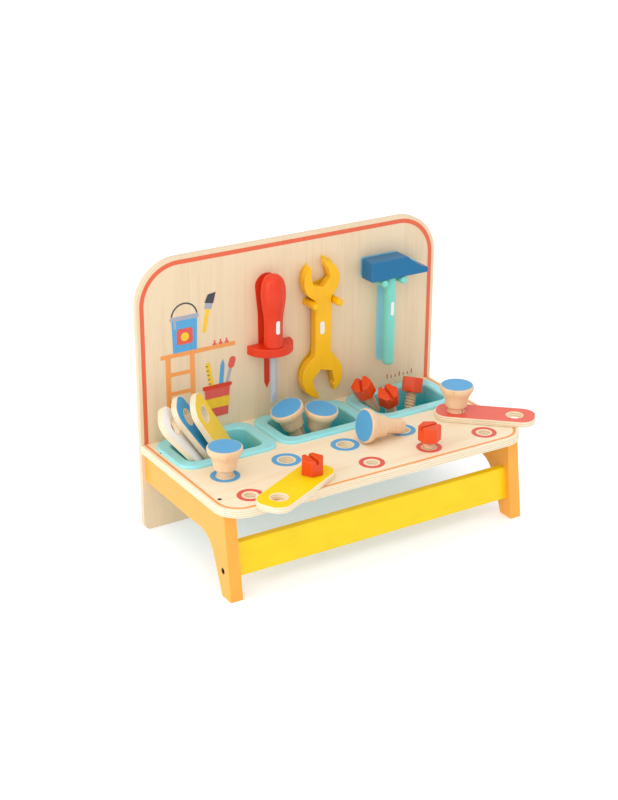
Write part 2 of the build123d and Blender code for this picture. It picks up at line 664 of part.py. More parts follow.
with BuildPart() as wrench:
    with BuildSketch(Plane.XZ.offset(-(FRONT - WRENCH_GAP))) as silhouette:
        with Locations(UPPER_HEAD):
            Circle(UPPER_HEAD_R)
        with Locations(LOWER_HEAD):
            Circle(LOWER_HEAD_R)
        with Locations((WRENCH_X, (UPPER_HEAD[1] + LOWER_HEAD[1]) / 2)):
            Rectangle(WRENCH_GRIP, UPPER_HEAD[1] - LOWER_HEAD[1])
        necks = silhouette.vertices().filter_by(
            lambda v: LOWER_HEAD[1] + 10 < v.Y < UPPER_HEAD[1] - 10
        )
        fillet(necks, radius=8)
        for head, flats, turn in (
            (UPPER_HEAD, UPPER_JAW_FLATS, WRENCH_TILT),
            (LOWER_HEAD, LOWER_JAW_FLATS, 180 + WRENCH_TILT),
        ):
            with Locations(Location(jaw_point(head, 0.25 * flats, turn), turn)):
                RegularPolygon(flats / 2, 6, major_radius=False, rotation=30, mode=Mode.SUBTRACT)
            with Locations(Location(jaw_point(head, flats, turn), turn)):
                Rectangle(0.8 * flats, 1.5 * flats, mode=Mode.SUBTRACT)
    extrude(amount=WRENCH_THICK)
    fillet(wrench.faces().filter_by(Axis.Y).edges(), radius=0.9)
save(wrench, "wrench")

HAMMER_X = 113.5
HEAD_UNDER = HAMMER_PEGS[0][1] + PEG_R + 0.2
HEAD_HEIGHT = 22.0
HEAD_GAP = 3.0
HEAD_THICK = 20.0
HAMMER_Y = FRONT - HEAD_GAP - HEAD_THICK / 2
HEAD_BACK_X = 84.0
CLAW_TIP_X = 157.0
HANDLE_R = 6.6
HANDLE_END_Z = 130.5
HANDLE_SOCKET = 15.0

with BuildPart() as hammer_head:
    with BuildSketch(Plane.XZ.offset(-(FRONT - HEAD_GAP))):
        with BuildLine():
            Polyline(
                (129.5, HEAD_UNDER + HEAD_HEIGHT),
                (HEAD_BACK_X, HEAD_UNDER + HEAD_HEIGHT),
                (HEAD_BACK_X, HEAD_UNDER),
                (CLAW_TIP_X, HEAD_UNDER),
                (CLAW_TIP_X, HEAD_UNDER + 5.5),
            )
            ThreePointArc(
                (CLAW_TIP_X, HEAD_UNDER + 5.5),
                (145.5, HEAD_UNDER + 10.0),
                (129.5, HEAD_UNDER + HEAD_HEIGHT),
            )
        make_face()
    extrude(amount=HEAD_THICK)
    chamfer(hammer_head.edges().filter_by(GeomType.LINE), length=0.8)
    with BuildSketch(Plane.XY.offset(HEAD_UNDER)):
        with Locations((HAMMER_X, HAMMER_Y)):
            Circle(HANDLE_R + FIT)
    extrude(amount=HANDLE_SOCKET, mode=Mode.SUBTRACT)
save(hammer_head, "hammer_head")

with BuildPart() as hammer_handle:
    with BuildSketch(Plane.XY.offset(HANDLE_END_Z)):
        with Locations((HAMMER_X, HAMMER_Y)):
            Circle(HANDLE_R)
    extrude(amount=HEAD_UNDER + HANDLE_SOCKET - 0.5 - HANDLE_END_Z)
    fillet(hammer_handle.edges().group_by(Axis.Z)[0], radius=4.0)
save(hammer_handle, "hammer_handle")
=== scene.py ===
import json
import math
import bpy
import bmesh
from mathutils import Matrix, Vector


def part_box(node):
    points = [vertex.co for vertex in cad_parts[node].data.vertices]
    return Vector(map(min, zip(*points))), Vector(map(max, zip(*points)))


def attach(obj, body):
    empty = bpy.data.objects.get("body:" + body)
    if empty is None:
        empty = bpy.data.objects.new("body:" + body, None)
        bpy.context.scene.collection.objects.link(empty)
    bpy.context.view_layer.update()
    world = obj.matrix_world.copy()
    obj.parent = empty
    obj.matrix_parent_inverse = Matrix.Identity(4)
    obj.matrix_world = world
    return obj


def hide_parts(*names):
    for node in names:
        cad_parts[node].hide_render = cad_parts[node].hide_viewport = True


# The looks of the wooden toy workbench: printed inks, painted and bare wood, glossy
# trays, helical screw threads, light and camera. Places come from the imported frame.

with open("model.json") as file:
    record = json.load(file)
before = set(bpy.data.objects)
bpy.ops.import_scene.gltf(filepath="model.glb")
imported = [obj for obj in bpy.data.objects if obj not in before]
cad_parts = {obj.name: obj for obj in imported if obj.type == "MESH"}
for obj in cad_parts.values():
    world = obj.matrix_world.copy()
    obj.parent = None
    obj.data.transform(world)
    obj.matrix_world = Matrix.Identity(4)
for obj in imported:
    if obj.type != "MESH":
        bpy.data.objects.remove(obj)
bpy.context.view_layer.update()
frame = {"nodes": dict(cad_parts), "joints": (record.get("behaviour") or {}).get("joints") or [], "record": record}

MM = 0.001
INK = 0.15 * MM  # thickness of a printed or painted film
LIFT = 0.02 * MM  # gap between a film and the face that it lies on
SECOND = LIFT + INK  # the same gap for a film on top of another
THIRD = LIFT + 2 * INK
FOURTH = LIFT + 3 * INK

# ---------------------------------------------------------------- places, from the frame
panel_low, panel_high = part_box("back_panel")
top_low, top_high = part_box("worktop")
PANEL_FACE = panel_low.y
TOP_FACE = top_high.z
mounts = {mount["name"]: Vector(mount["pos_m"]) for mount in frame["record"]["mounts"]}
joints = {joint["child"]: joint for joint in frame["joints"]}
NAIL_ROW_Y = mounts["nail_hole_middle"].y
SCREW_ROW_Y = mounts["screw_hole_middle"].y
HOLE_PITCH = mounts["nail_hole_middle"].x - mounts["nail_hole_left"].x
HOLE_XS = [HOLE_PITCH * step for step in (-2, -1, 0, 1, 2)]


# ---------------------------------------------------------------- colours and materials
def colour(red, green, blue):
    """A screen colour, 0 to 255 each, as linear light."""
    parts = []
    for value in (red, green, blue):
        share = value / 255
        parts.append(share / 12.92 if share <= 0.04045 else ((share + 0.055) / 1.055) ** 2.4)
    return (*parts, 1.0)


def darker(tint, share):
    return (*[part * share for part in tint[:3]], 1.0)


class Look:
    """One procedural material: its principled shader, and short ways to add nodes."""

    def __init__(self, name, tint, roughness):
        self.material = bpy.data.materials.new(name)
        self.material.use_nodes = True
        self.material.diffuse_color = tint
        self.nodes = self.material.node_tree.nodes
        self.links = self.material.node_tree.links
        self.shader = self.nodes["Principled BSDF"]
        self.shader.inputs["Base Color"].default_value = tint
        self.shader.inputs["Roughness"].default_value = roughness

    def set(self, **sockets):
        for name, value in sockets.items():
            self.shader.inputs[name.replace("_", " ")].default_value = value

    def node(self, kind, **settings):
        made = self.nodes.new(kind)
        for name, value in settings.items():
            setattr(made, name, value)
        return made

    def place(self, scale, turn=(0, 0, 0)):
        """Object coordinates in millimetres, turned and then scaled."""
        source = self.node("ShaderNodeTexCoord")
        mapping = self.node("ShaderNodeMapping")
        mapping.inputs["Rotation"].default_value = turn
        mapping.inputs["Scale"].default_value = [part / MM for part in scale]
        self.links.new(source.outputs["Object"], mapping.inputs["Vector"])
        return mapping.outputs["Vector"]

    def noise(self, vector, scale=1.0, detail=3.0, roughness=0.55, distortion=0.0):
        made = self.node("ShaderNodeTexNoise")
        made.inputs["Scale"].default_value = scale
        made.inputs["Detail"].default_value = detail
        made.inputs["Roughness"].default_value = roughness
        made.inputs["Distortion"].default_value = distortion
        self.links.new(vector, made.inputs["Vector"])
        return made.outputs["Fac"]

    def ramp(self, factor, *stops):
        """Colours or grey values at the given places of a 0 to 1 factor."""
        made = self.node("ShaderNodeValToRGB")
        elements = made.color_ramp.elements
        while len(elements) < len(stops):
            elements.new(0.5)
        for element, (position, value) in zip(elements, stops):
            element.position = position
            element.color = value if isinstance(value, tuple) else (value, value, value, 1)
        self.links.new(factor, made.inputs["Fac"])
        return made.outputs["Color"]

    def maths(self, operation, first, second=None, clamp=False):
        made = self.node("ShaderNodeMath", operation=operation, use_clamp=clamp)
        for socket, value in zip(made.inputs, (first, second)):
            if value is None:
                continue
            if isinstance(value, (int, float)):
                socket.default_value = value
            else:
                self.links.new(value, socket)
        return made.outputs["Value"]

    def blend(self, factor, first, second, kind="MIX"):
        made = self.node("ShaderNodeMix", data_type="RGBA", blend_type=kind)
        for socket, value in zip((made.inputs[0], made.inputs[6], made.inputs[7]), (factor, first, second)):
            if isinstance(value, (int, float, tuple)):
                socket.default_value = value
            else:
                self.links.new(value, socket)
        return made.outputs[2]

    def paint(self, source):
        self.links.new(source, self.shader.inputs["Base Color"])

    def rough(self, factor, low, high):
        """Roughness that follows a factor between two values."""
        self.links.new(self.ramp(factor, (0.25, low), (0.75, high)), self.shader.inputs["Roughness"])

    def bump(self, height, strength, distance):
        made = self.node("ShaderNodeBump")
        made.inputs["Strength"].default_value = strength
        made.inputs["Distance"].default_value = distance * MM
        self.links.new(height, made.inputs["Height"])
        self.links.new(made.outputs["Normal"], self.shader.inputs["Normal"])

    def edges(self, radius):
        """1 on sharp outer edges, 0 on flat faces."""
        rounded = self.node("ShaderNodeBevel", samples=4)
        rounded.inputs["Radius"].default_value = radius * MM
        geometry = self.node("ShaderNodeNewGeometry")
        product = self.node("ShaderNodeVectorMath", operation="DOT_PRODUCT")
        self.links.new(rounded.outputs["Normal"], product.inputs[0])
        self.links.new(geometry.outputs["Normal"], product.inputs[1])
        return self.maths("MULTIPLY", self.maths("SUBTRACT", 1.0, product.outputs["Value"]), 6.0, clamp=True)


GRAIN_SCALES = {
    "x": lambda across, along: (along, across, across),
    "y": lambda across, along: (across, along, across),
    "z": lambda across, along: (across, across, along),
}


def grain(look, axis, turn=(0, 0, 0)):
    """Three sizes of wood grain running along one axis: broad bands, streaks and pores."""
    scale = GRAIN_SCALES[axis]
    bands = look.noise(look.place(scale(0.035, 0.004), turn), detail=2.0, distortion=0.6)
    streaks = look.noise(look.place(scale(0.3, 0.011), turn), detail=4.0, distortion=0.3)
    pores = look.noise(look.place(scale(2.2, 0.07), turn), detail=2.0, roughness=0.7)
    return bands, streaks, pores


def layered(look, direction, low, thickness, layers, light, dark):
    """Plywood seen on its edges: layers across a board, every other one faintly dark."""
    source = look.node("ShaderNodeTexCoord")
    product = look.node("ShaderNodeVectorMath", operation="DOT_PRODUCT")
    product.inputs[1].default_value = direction
    look.links.new(source.outputs["Object"], product.inputs[0])
    height = look.maths("DIVIDE", look.maths("SUBTRACT", product.outputs["Value"], low), thickness)
    waver = look.noise(look.place((0.05, 0.05, 0.05)), detail=2.0)
    shift = look.maths("MULTIPLY", look.maths("SUBTRACT", waver, 0.5), 0.06)
    inside = look.maths("ADD", height, shift, clamp=True)
    number = look.maths("MULTIPLY", inside, layers * 0.996)
    wave = look.maths("SINE", look.maths("MULTIPLY", look.maths("FLOOR", number), math.pi / 2))
    odd = look.maths("MULTIPLY", wave, wave)
    fibres = look.noise(look.place((0.9, 0.9, 0.9)), detail=4.0, roughness=0.7)
    strength = look.maths("MULTIPLY", odd, look.ramp(fibres, (0.35, 0.3), (0.65, 0.75)))
    return look.blend(strength, light, dark)


def bare_wood(name, light, dark, axis, turn=(0, 0, 0), board=None, roughness=(0.42, 0.58), relief=0.25):
    """Varnished wood. board gives (direction, low, thickness, layers) where it is plywood."""
    look = Look(name, light, 0.5)
    bands, streaks, pores = grain(look, axis, turn)
    mixed = look.maths("ADD", look.maths("MULTIPLY", bands, 0.45), look.maths("MULTIPLY", streaks, 0.55))
    tone = look.ramp(mixed, (0.34, dark), (0.52, light), (0.7, darker(light, 0.97)))
    tone = look.blend(0.06, tone, look.ramp(pores, (0.35, darker(dark, 0.6)), (0.6, light)))
    if board:
        direction, low, thickness, layers = board
        tone = layered(look, direction, low, thickness, layers, tone, darker(dark, 0.7))
    worn = look.maths("MULTIPLY", look.edges(0.5), 0.35)
    look.paint(look.blend(worn, tone, darker(light, 1.04)))
    look.rough(streaks, *roughness)
    look.bump(look.maths("ADD", look.maths("MULTIPLY", streaks, 0.6), pores), relief, 0.12)
    look.set(Coat_Weight=0.05, Coat_Roughness=0.28, Specular_IOR_Level=0.35)
    return look.material


def painted_wood(name, tint, axis="z", turn=(0, 0, 0), wear=0.45, roughness=(0.3, 0.42)):
    """Satin paint over wood: faint grain under it, small tone changes, rubbed edges."""
    look = Look(name, tint, 0.36)
    bands, streaks, pores = grain(look, axis, turn)
    cloud = look.noise(look.place((0.03, 0.03, 0.03)), detail=3.0)
    tone = look.ramp(cloud, (0.3, darker(tint, 0.93)), (0.6, tint))
    tone = look.blend(0.10, tone, look.ramp(streaks, (0.35, darker(tint, 0.72)), (0.62, tint)))
    chips = look.noise(look.place((0.35, 0.35, 0.35)), detail=4.0, roughness=0.7)
    rubbed = look.maths("MULTIPLY", look.edges(0.7), look.ramp(chips, (0.42, 0.15), (0.62, wear)))
    pale = tuple(0.55 * part + 0.45 for part in tint[:3]) + (1.0,)
    look.paint(look.blend(rubbed, tone, pale))
    gloss = look.maths("ADD", look.maths("MULTIPLY", bands, 0.4), look.maths("MULTIPLY", chips, 0.6))
    look.rough(gloss, *roughness)
    relief = look.maths("ADD", look.maths("MULTIPLY", streaks, 0.7), look.maths("MULTIPLY", pores, 0.5))
    look.bump(relief, 0.18, 0.1)
    look.set(Coat_Weight=0.1, Coat_Roughness=0.16, Specular_IOR_Level=0.3)
    return look.material


def printed(name, tint, roughness=0.45):
    """Screen ink on wood: nearly flat, with the grain and a fine mottle showing through."""
    look = Look(name, tint, roughness)
    mottle = look.noise(look.place((1.4, 1.4, 1.4)), detail=3.0, roughness=0.7)
    streaks = look.noise(look.place((0.5, 0.5, 0.03)), detail=3.0)
    tone = look.ramp(streaks, (0.35, darker(tint, 0.9)), (0.65, tint))
    look.paint(look.blend(0.12, tone, look.ramp(mottle, (0.4, darker(tint, 0.75)), (0.6, tint))))
    look.rough(mottle, roughness - 0.06, roughness + 0.08)
    look.bump(streaks, 0.15, 0.05)
    return look.material


def moulded(name, tint, shade_and_flow_tint, shade_top_level, depth):
    """Glossy moulded plastic with painted shade that deepens its colour down in the tray, and faint flow marks and
    scuffs.
    """
    look = Look(name, tint, 0.25)
    flow = look.noise(look.place((0.02, 0.05, 0.05)), detail=3.0, distortion=1.0)
    scuffs = look.noise(look.place((0.9, 0.25, 0.9)), detail=5.0, roughness=0.75)
    source = look.node("ShaderNodeTexCoord")
    parts = look.node("ShaderNodeSeparateXYZ")
    look.links.new(source.outputs["Object"], parts.inputs["Vector"])
    # painted shade: the colour deepens with depth below the rim, standing in for the shade inside the tray
    below = look.maths("DIVIDE", look.maths("SUBTRACT", shade_top_level, parts.outputs["Z"]), depth, clamp=True)
    tone = look.ramp(below, (0.0, tint), (1.0, shade_and_flow_tint))
    look.paint(look.blend(0.08, tone, look.ramp(flow, (0.3, shade_and_flow_tint), (0.6, tint))))
    look.rough(scuffs, 0.12, 0.22)
    look.bump(look.maths("ADD", flow, look.maths("MULTIPLY", scuffs, 0.15)), 0.05, 0.1)
    look.set(Coat_Weight=0.5, Coat_Roughness=0.05)
    return look.material


def metal(name, tint, roughness, metallic=1.0):
    """Plated steel with fine brushed scratches and duller spots."""
    look = Look(name, tint, roughness)
    scratches = look.noise(look.place((3.0, 0.4, 0.4)), detail=4.0, roughness=0.7)
    spots = look.noise(look.place((0.5, 0.5, 0.5)), detail=2.0)
    look.paint(look.ramp(spots, (0.35, darker(tint, 0.7)), (0.6, tint)))
    look.rough(scratches, roughness - 0.08, roughness + 0.12)
    look.bump(scratches, 0.2, 0.03)
    look.set(Metallic=metallic)
    return look.material


PANEL_WOOD = colour(236, 212, 177)
PANEL_WOOD_DARK = colour(229, 202, 165)
TOP_WOOD = colour(246, 229, 198)
TOP_WOOD_DARK = colour(240, 215, 178)
BEECH = colour(238, 203, 163)
BEECH_DARK = colour(228, 186, 142)
ORANGE = colour(250, 172, 62)
RAIL_YELLOW = colour(248, 211, 2)
TURQUOISE = colour(150, 226, 230)
# the deep turquoise is painted shade down in the trays, and also the tint of the flow marks
TURQUOISE_SHADE_AND_FLOW = colour(0, 202, 212)
RED = colour(226, 56, 18)
SCREW_RED = colour(230, 72, 8)
MINT = colour(126, 214, 198)
WRENCH_YELLOW = colour(250, 188, 2)
DEEP_BLUE = colour(4, 108, 156)
SHAFT_GREY = colour(182, 186, 194)
TRAY_SHADE_TOP = TOP_FACE - 1.0 * MM  # the painted shade starts below this height; the plastic is palest above it
TRAY_SHADE_DEPTH = 24.0 * MM  # and the painted shade is deepest this far below it
LINE_RED = colour(233, 102, 62)
LINE_ORANGE = colour(247, 160, 84)
PRINT_BLUE = colour(84, 168, 218)
PRINT_RED = colour(230, 90, 76)
PALE_BLUE = colour(160, 222, 238)
SLATE = colour(62, 62, 70)
STONE = colour(168, 172, 186)
LABEL_WHITE = colour(244, 242, 238)
GRAIN_TURN = (0, 0, math.radians(12))

panel_board = ((0, 1, 0), PANEL_FACE, panel_high.y - PANEL_FACE, 5)
top_board = ((0, 0, 1), top_low.z, TOP_FACE - top_low.z, 7)
looks = {
    "panel_ply": bare_wood("panel plywood", PANEL_WOOD, PANEL_WOOD_DARK, "z", board=panel_board),
    "worktop_ply": bare_wood("worktop plywood", TOP_WOOD, TOP_WOOD_DARK, "x", board=top_board),
    "orange_paint": painted_wood("orange paint", ORANGE, "z"),
    "yellow_paint": painted_wood("yellow paint", RAIL_YELLOW, "x"),
    "tray_plastic": moulded("turquoise plastic", TURQUOISE, TURQUOISE_SHADE_AND_FLOW, TRAY_SHADE_TOP, TRAY_SHADE_DEPTH),
    "red_paint": painted_wood("red paint", RED, "z"),
    "mint_paint": painted_wood("mint paint", MINT, "z"),
    "natural_wood": bare_wood("turned beech", BEECH, BEECH_DARK, "z", turn=GRAIN_TURN, relief=0.1),
    "thread_wood": bare_wood("threaded beech", BEECH, BEECH_DARK, "z", turn=GRAIN_TURN, relief=0.1),
    "blue_paint": painted_wood("blue paint", DEEP_BLUE, "x"),
    "driver_shaft": painted_wood("grey paint", SHAFT_GREY, "z"),
    "wrench_paint": painted_wood("golden yellow paint", WRENCH_YELLOW, "z"),
    "steel": metal("zinc plated steel", colour(190, 192, 196), 0.32),
    "dark_steel": metal("dark steel", colour(60, 56, 52), 0.42),
    "dowel_wood": bare_wood("dowel beech", BEECH, BEECH_DARK, "x"),
}
screw_finish = painted_wood("orange red paint", SCREW_RED, "z")
INKS = {
    "line_red": printed("red outline ink", LINE_RED),
    "line_orange": printed("orange line ink", LINE_ORANGE),
    "blue": printed("blue ink", PRINT_BLUE),
    "red": printed("red ink", PRINT_RED),
    "pale_blue": printed("pale blue ink", PALE_BLUE),
    "yellow": printed("yellow ink", colour(252, 204, 40)),
    "driver_red": printed("tool red ink", RED),
    "slate": printed("slate ink", SLATE),
    "stone": printed("stone ink", STONE),
    "white": printed("white label", LABEL_WHITE, 0.35),
}


# ---------------------------------------------------------------- shapes
def arc(x, y, radius, start, end, steps=16):
    """Points on an arc, with angles in degrees."""
    points = []
    for step in range(steps + 1):
        angle = math.radians(start + (end - start) * step / steps)
        points.append((x + radius * math.cos(angle), y + radius * math.sin(angle)))
    return points


def ring_line(x, y, radius):
    return arc(x, y, radius, 0, 360 - 360 / 64, 63)


def rounded_box(left, bottom, right, top, radius):
    """A rectangle with four equal rounded corners, anticlockwise."""
    corners = (
        (right - radius, top - radius, 0),
        (left + radius, top - radius, 90),
        (left + radius, bottom + radius, 180),
        (right - radius, bottom + radius, 270),
    )
    points = []
    for x, y, start in corners:
        points += arc(x, y, radius, start, start + 90, 10)
    return points


def pill(x, y, width, height):
    radius = 0.499 * min(width, height)
    return rounded_box(x - width / 2, y - height / 2, x + width / 2, y + height / 2, radius)


def stroke(points, width):
    """A band of even width along a line of points."""
    line = [Vector(point) for point in points]
    left, right = [], []
    for index, point in enumerate(line):
        before = line[max(index - 1, 0)]
        after = line[min(index + 1, len(line) - 1)]
        along = (after - before).normalized()
        side = Vector((-along.y, along.x)) * width / 2
        left.append(tuple(point + side))
        right.append(tuple(point - side))
    return left + right[::-1]


def turned(points, x, y, degrees):
    """Points turned about (x, y)."""
    cosine, sine = math.cos(math.radians(degrees)), math.sin(math.radians(degrees))
    moved = []
    for px, py in points:
        moved.append((x + (px - x) * cosine - (py - y) * sine, y + (px - x) * sine + (py - y) * cosine))
    return moved


def film(name, outlines, place, material, body, thickness=INK, lift=LIFT):
    """A thin closed sheet with the given outline and holes, in millimetres on a placed plane."""
    curve = bpy.data.curves.new(name, "CURVE")
    curve.dimensions = "2D"
    curve.fill_mode = "BOTH"
    curve.extrude = thickness / 2
    for outline in outlines:
        spline = curve.splines.new("POLY")
        spline.points.add(len(outline) - 1)
        for point, (u, v) in zip(spline.points, outline):
            point.co = (u * MM, v * MM, 0, 1)
        spline.use_cyclic_u = True
    flat = bpy.data.objects.new(name + "_outline", curve)
    bpy.context.scene.collection.objects.link(flat)
    mesh = bpy.data.meshes.new_from_object(flat)
    bpy.data.objects.remove(flat)
    mesh.transform(place @ Matrix.Translation((0, 0, lift + thickness / 2)))
    mesh.name = name
    return keep(name, mesh, material, body)


def keep(name, mesh, material, body):
    """Makes a piece of the object out of a mesh."""
    mesh.materials.clear()
    mesh.materials.append(material)
    piece = bpy.data.objects.new(name, mesh)
    bpy.context.scene.collection.objects.link(piece)
    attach(piece, body)
    return piece


def plane(origin, across, normal):
    """The placing of a film: u along across, w along normal."""
    w = Vector(normal).normalized()
    u = (Vector(across) - w * w.dot(Vector(across))).normalized()
    v = w.cross(u)
    place = Matrix((u, v, w)).transposed().to_4x4()
    place.translation = origin
    return place


def flat_face(node, hint=None):
    """Middle and outward normal of a node's largest flat face, on hint's side where it has two."""
    mesh = frame["nodes"][node].data
    groups = {}
    for polygon in mesh.polygons:
        normal = polygon.normal
        if hint and normal.dot(Vector(hint)) < 0.1:
            continue
        offset = normal.dot(polygon.center)
        key = tuple(round(part, 2) for part in normal) + (round(offset / MM, 1),)
        area, weighted, direction = groups.get(key, (0.0, Vector(), Vector()))
        weighted = weighted + polygon.center * polygon.area
        direction = direction + normal * polygon.area
        groups[key] = (area + polygon.area, weighted, direction)
    area, weighted, direction = max(groups.values(), key=lambda group: group[0])
    return weighted / area, direction.normalized()


# ---------------------------------------------------------------- finishes on the CAD nodes
SLAT_THICK = 6.0 * MM
SLAT_PAINT = {
    "yellow_slat": colour(246, 214, 4),
    "red_slat": colour(236, 98, 74),
    "amber_slat": colour(255, 214, 62),
    "blue_slat": colour(50, 170, 228),
    "white_slat": colour(251, 251, 252),
}
slot_of = {part["node"]: part["material_slot"] for part in frame["record"]["subparts"]}
slat_faces = {name: flat_face(name, (0, 0, 1)) for name in SLAT_PAINT}

for name, node in frame["nodes"].items():
    if name in slat_faces:
        middle, normal = slat_faces[name]
        low = normal.dot(middle) - SLAT_THICK
        board = (tuple(normal), low, SLAT_THICK, 5)
        finish = bare_wood(f"{name} plywood", TOP_WOOD, TOP_WOOD_DARK, "x", board=board)
    elif "screw" in name and name.endswith("_head"):
        finish = screw_finish
    else:
        finish = looks[slot_of[name]]
    node.data.materials.clear()
    node.data.materials.append(finish)

# ---------------------------------------------------------------- back panel prints
PANEL = plane((0, PANEL_FACE, 0), (1, 0, 0), (0, -1, 0))
half_width = panel_high.x / MM
panel_top = panel_high.z / MM
top_level = TOP_FACE / MM
OUTLINE_INSET = 6.0
OUTLINE_WIDTH = 4.6
OUTLINE_RADIUS = 41.5


def panel_print(name, outlines, ink, lift=LIFT):
    return film(name, outlines, PANEL, INKS[ink], "bench", lift=lift)


edge_x = half_width - OUTLINE_INSET
edge_z = panel_top - OUTLINE_INSET
outline = [(-edge_x, top_level + 0.6)]
outline += arc(OUTLINE_RADIUS - edge_x, edge_z - OUTLINE_RADIUS, OUTLINE_RADIUS, 180, 90, 24)
outline += arc(edge_x - OUTLINE_RADIUS, edge_z - OUTLINE_RADIUS, OUTLINE_RADIUS, 90, 0, 24)
outline += [(edge_x, top_level + 0.6)]
panel_print("print_outline", [stroke(outline, OUTLINE_WIDTH)], "line_red")

# silhouettes that show where each tool hangs
panel_print(
    "print_hammer",
    [
        [(84, 231.7), (84, 253.5), (130, 253.5)]
        + arc(158.5, 267.5, 32, 206, 243, 8)
        + [(156.8, 239), (156.8, 232.5), (119.5, 231.7)]
        + arc(112.75, 137.2, 6.75, 0, -180, 12)
        + [(106, 231.7)]
    ],
    "pale_blue",
)
wrench_low, wrench_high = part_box("wrench")
SILHOUETTE_SHIFT = (2.0, 2.0)
WRENCH_SHADOW_HEADS = ((28.0, 241.0, 21.8, 17.0, 15), (29.5, 133.5, 25.0, 20.0, 195))


def wrench_outline():
    """The printed wrench: two round jaws joined by a straight grip, each jaw with its slot."""
    (ux, uz, ur, uslot, uturn), (lx, lz, lr, lslot, lturn) = WRENCH_SHADOW_HEADS
    grip = 9.75
    middle = 30.0
    join_up = math.degrees(math.asin((grip + 3) / ur))
    join_low = math.degrees(math.asin((grip + 3) / lr))
    half_up = math.degrees(math.asin(uslot / 2 / ur))
    half_low = math.degrees(math.asin(lslot / 2 / lr))
    points = arc(ux, uz, ur, -90 + join_up, 90 + uturn - half_up, 24)
    depth = 0.28 * uslot
    away = math.radians(90 + uturn)
    side = Vector((-math.sin(away), math.cos(away)))
    centre = Vector((ux, uz)) - Vector((math.cos(away), math.sin(away))) * depth
    points += [tuple(centre - side * uslot / 2), tuple(centre + side * uslot / 2)]
    points += arc(ux, uz, ur, 90 + uturn + half_up, 270 - join_up, 24)
    points += [(middle - grip, uz - ur - 6), (middle - grip, lz + lr + 6)]
    points += arc(lx, lz, lr, 90 + join_low, 90 + lturn - half_low, 24)
    away = math.radians(90 + lturn)
    side = Vector((-math.sin(away), math.cos(away)))
    centre = Vector((lx, lz)) - Vector((math.cos(away), math.sin(away))) * depth
    points += [tuple(centre - side * lslot / 2), tuple(centre + side * lslot / 2)]
    points += arc(lx, lz, lr, 90 + lturn + half_low, 450 - join_low, 24)
    points += [(middle + grip, lz + lr + 6), (middle + grip, uz - ur - 6)]
    return [(x + SILHOUETTE_SHIFT[0], z + SILHOUETTE_SHIFT[1]) for x, z in points]


panel_print("print_wrench", [wrench_outline()], "yellow")

driver_low, driver_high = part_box("screwdriver_handle")
driver_x = (driver_low.x + driver_high.x) / 2 / MM
panel_print(
    "print_screwdriver",
    [
        arc(driver_x, 243.5, 13.5, 0, 180, 24)
        + [(driver_x - 10.5, 214), (driver_x - 10, 181), (driver_x - 3.3, 181), (driver_x - 3.3, 136)]
        + [(driver_x, 128.7), (driver_x + 3.3, 136), (driver_x + 3.3, 181)]
        + [(driver_x + 10, 181), (driver_x + 10.5, 214)]
    ],
    "driver_red",
)

# shelf, ladder and three little nails on it
SHELF_LEFT = -155.0
SHELF_RIGHT = -69.0
SHELF_Z = 187.5
LADDER_POSTS = (-146.7, -119.0)
LADDER_FOOT = 104.0
POST_HALF = 2.8
RUNG_HALF = 2.1
SHELF_HALF = 2.3
shelf = rounded_box(SHELF_LEFT, SHELF_Z - SHELF_HALF, SHELF_RIGHT, SHELF_Z + SHELF_HALF, 0.8)
panel_print("print_shelf", [shelf], "line_orange")
for number, x in enumerate(LADDER_POSTS):
    post = rounded_box(x - POST_HALF, LADDER_FOOT, x + POST_HALF, SHELF_Z - SHELF_HALF, 0.5)
    panel_print(f"print_ladder_post_{number}", [post], "line_orange")
for number, z in enumerate((125.0, 146.0, 167.0)):
    left, right = LADDER_POSTS[0] + POST_HALF, LADDER_POSTS[1] - POST_HALF
    rung = rounded_box(left, z - RUNG_HALF, right, z + RUNG_HALF, 0.3)
    panel_print(f"print_rung_{number}", [rung], "line_orange")
SHELF_TOP = SHELF_Z + SHELF_HALF
for number, x in enumerate((-93.0, -86.0, -79.0)):
    shank = rounded_box(x - 0.9, SHELF_TOP, x + 0.9, SHELF_Z + 7.6, 0.3)
    head = rounded_box(x - 2.4, SHELF_TOP, x + 2.4, SHELF_Z + 4.2, 0.6)
    panel_print(f"print_nail_shank_{number}", [shank], "red")
    panel_print(f"print_nail_head_{number}", [head], "red", SECOND)

# a paint tin with its brush, on the shelf
TIN_X = -127.0
TIN_FOOT = SHELF_TOP
TIN_RIM = TIN_FOOT + 34
tin = [(TIN_X - 13.5, TIN_FOOT), (TIN_X + 13.5, TIN_FOOT), (TIN_X + 14.5, TIN_RIM), (TIN_X - 14.5, TIN_RIM)]
panel_print("print_tin", [tin], "blue")
lid = rounded_box(TIN_X - 16.5, TIN_RIM, TIN_X + 16.5, TIN_FOOT + 38.5, 1.5)
panel_print("print_tin_lid", [lid], "stone")
tin_label = rounded_box(TIN_X - 9, TIN_FOOT + 8, TIN_X + 9, TIN_FOOT + 25, 3)
panel_print("print_tin_label", [tin_label], "red", SECOND)
panel_print("print_tin_drop", [ring_line(TIN_X, TIN_FOOT + 16, 4.6)], "yellow", THIRD)
drip = rounded_box(TIN_X - 12.5, TIN_FOOT + 25.5, TIN_X - 9.5, TIN_RIM, 1.4)
panel_print("print_tin_drip", [drip], "stone", SECOND)
handle = stroke(arc(TIN_X, TIN_FOOT + 37, 14.5, 172, 8, 24), 1.6)
panel_print("print_tin_handle", [handle], "slate")
BRUSH_X = TIN_X + 24.5
BRUSH_Z = TIN_FOOT + 29.0
BRUSH_TILT = -12
BRISTLE_FOOT = BRUSH_Z + 18


def brush_print(name, outline, ink, lift=LIFT):
    panel_print(name, [turned(outline, BRUSH_X, BRUSH_Z, BRUSH_TILT)], ink, lift)


